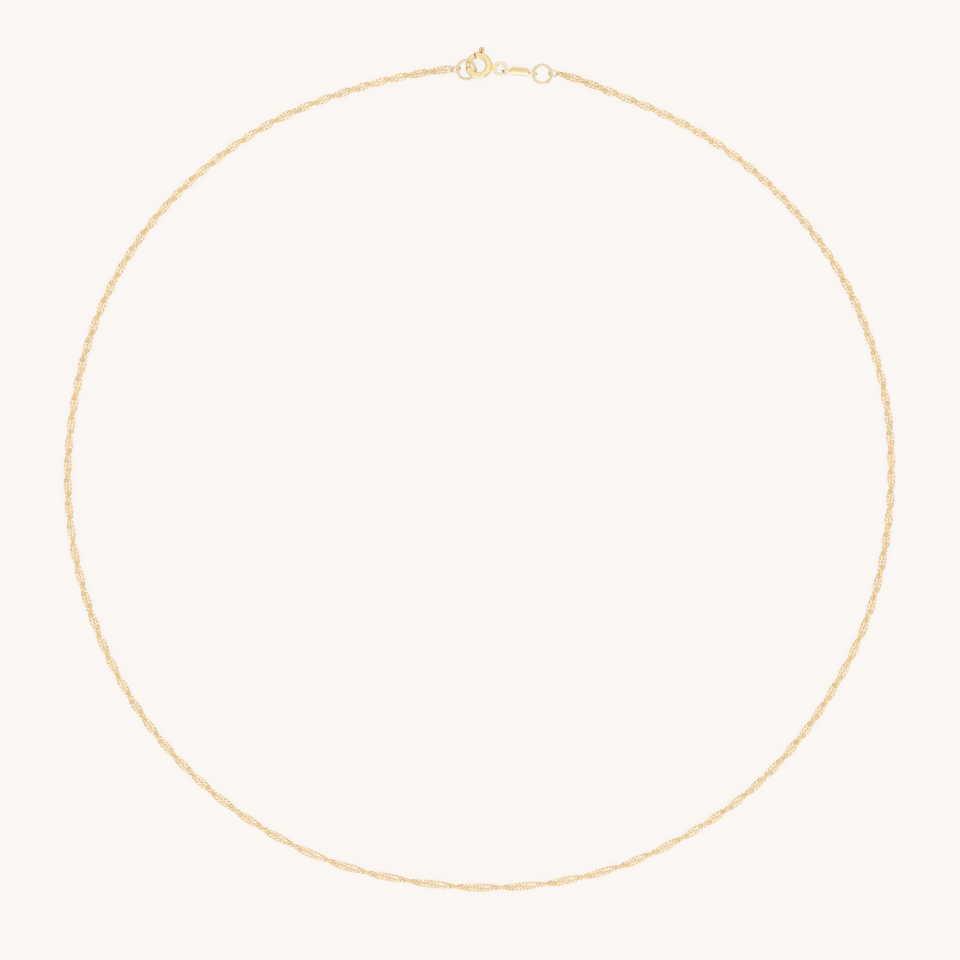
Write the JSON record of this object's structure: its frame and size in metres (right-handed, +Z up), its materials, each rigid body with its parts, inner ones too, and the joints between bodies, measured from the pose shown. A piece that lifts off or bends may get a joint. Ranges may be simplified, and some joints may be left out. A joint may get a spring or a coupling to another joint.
{
  "type": "link chain necklace",
  "caption": "Fine twisted curb link chain lying in a closed loop, with round end links, two jump rings, a small plain tag and a spring ring clasp with an eye and a thumb trigger.",
  "frame": {"origin": "on the table, under the middle of the whole necklace's box", "axes": "+X to the right and +Y from the front of the neck towards the clasp, as it lies; +Z up from the table"},
  "size_m": [0.1468, 0.1492, 0.002],
  "materials": {
    "diamond_cut_gold": "yellow gold, bright cut facets on every link",
    "drawn_wire_gold": "yellow gold wire, drawn and polished",
    "polished_gold": "yellow gold, high polish",
    "stamped_gold": "yellow gold sheet, pressed and lightly polished, no stamp"
  },
  "bodies": {
    "necklace": {"chain": "diamond_cut_gold", "end_link_left": "drawn_wire_gold", "end_link_right": "drawn_wire_gold", "jump_ring_left": "drawn_wire_gold", "jump_ring_right": "drawn_wire_gold", "clasp_ring": "polished_gold", "tag": "stamped_gold"},
    "bolt": {"clasp_bolt": "polished_gold"}
  },
  "joints": [
    {"name": "bolt_draw", "type": "hinge", "parent": "necklace", "child": "bolt", "pos_m": [-0.00019, 0.07129, 0.00093], "axis": [-0.0604, -0.1426, -0.9879], "range_deg": [0, 58], "stiffness_Nm_per_rad": 0.002, "springref_deg": -57.3}
  ]
}
